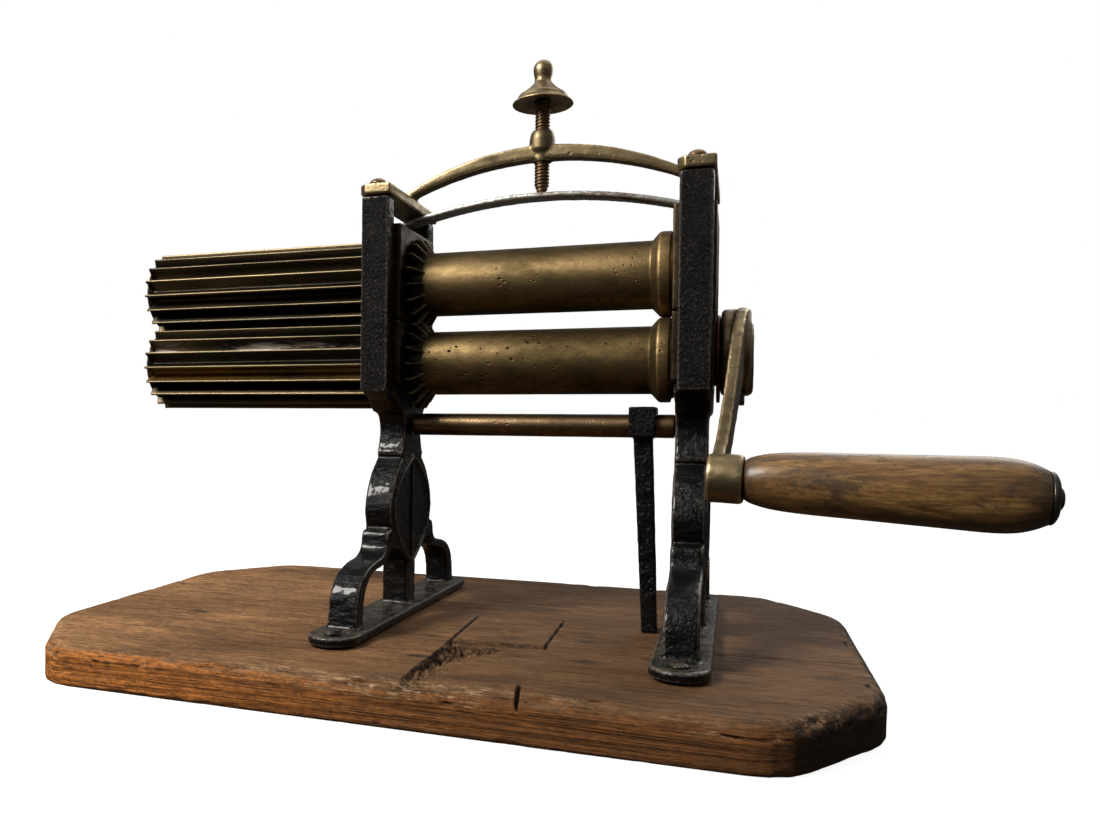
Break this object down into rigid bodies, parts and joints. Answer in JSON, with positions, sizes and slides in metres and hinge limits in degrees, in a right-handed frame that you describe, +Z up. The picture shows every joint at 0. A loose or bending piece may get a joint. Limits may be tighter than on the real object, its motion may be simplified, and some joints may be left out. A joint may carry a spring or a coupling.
{
  "type": "fluted roller press",
  "caption": "Hand-cranked press with paired brass rollers, fluted at one end and smooth between two cast-iron frames, on a wooden board.",
  "frame": {"origin": "middle of the board's underside", "axes": "+X along the rollers towards the crank, +Y away from the operator, +Z up"},
  "size_m": [0.5192, 0.315, 0.3592],
  "materials": {
    "brass": "aged, dull olive-brown, pitted",
    "dark_brass": "darkened, worn bright on edges",
    "iron": "black japanned, crackled, glossy",
    "steel": "grey with rusty edges",
    "dark_steel": "dark, dull",
    "board_wood": "worn softwood, scuffed arrises",
    "grip_wood": "turned, hand-polished"
  },
  "bodies": {
    "root": {"base_board": "board_wood", "left_side_frame": "iron", "right_side_frame": "iron", "left_lower_bearing": "brass", "right_lower_bearing": "brass", "left_front_cap_screw": "dark_brass", "left_rear_cap_screw": "dark_brass", "right_front_cap_screw": "dark_brass", "right_rear_cap_screw": "dark_brass", "left_front_foot_screw": "dark_steel", "left_rear_foot_screw": "dark_steel", "right_front_foot_screw": "dark_steel", "right_rear_foot_screw": "dark_steel", "bridge": "brass", "leaf_spring": "steel", "tie_rod": "brass", "rod_stay": "iron"},
    "upper_bearings": {"left_upper_bearing": "brass", "right_upper_bearing": "brass"},
    "upper_roller": {"upper_roller": "brass"},
    "crank": {"lower_roller": "brass", "thrust_washer": "dark_brass", "crank_arm": "brass", "hub_set_screw": "dark_steel", "grip_spindle": "dark_steel", "grip_washer": "dark_steel"},
    "grip": {"wood_grip": "grip_wood"},
    "pressure_screw": {"pressure_screw": "dark_brass"},
    "screw_knob": {"pressure_knob": "brass"}
  },
  "joints": [
    {"name": "bearing_lift", "type": "slide", "parent": "root", "child": "upper_bearings", "axis": [0, 0, 1], "range_m": [0, 0.003], "stiffness_N_per_m": 20000, "springref_m": -0.001, "deforming": ["leaf_spring"]},
    {"name": "upper_turn", "type": "hinge", "parent": "upper_bearings", "child": "upper_roller", "pos_m": [0, 0, 0.22805], "axis": [1, 0, 0], "continuous": true},
    {"name": "crank_turn", "type": "hinge", "parent": "root", "child": "crank", "pos_m": [0, 0, 0.17915], "axis": [1, 0, 0], "continuous": true},
    {"name": "grip_spin", "type": "hinge", "parent": "crank", "child": "grip", "pos_m": [0.16209, -0.11012, 0.11731], "axis": [0.9949, -0.0958, -0.0314], "continuous": true},
    {"name": "screw_lift", "type": "slide", "parent": "root", "child": "pressure_screw", "axis": [0, 0, 1], "range_m": [0, 0.01005]},
    {"name": "screw_turn", "type": "hinge", "parent": "pressure_screw", "child": "screw_knob", "pos_m": [0.055, 0, 0.34], "axis": [0, 0, 1], "range_deg": [0, 1800]}
  ],
  "couplings": [
    {"joint": "upper_turn", "follows": "crank_turn", "ratio": -1},
    {"joint": "screw_lift", "follows": "screw_turn", "m_per_rad": 0.00031831}
  ]
}
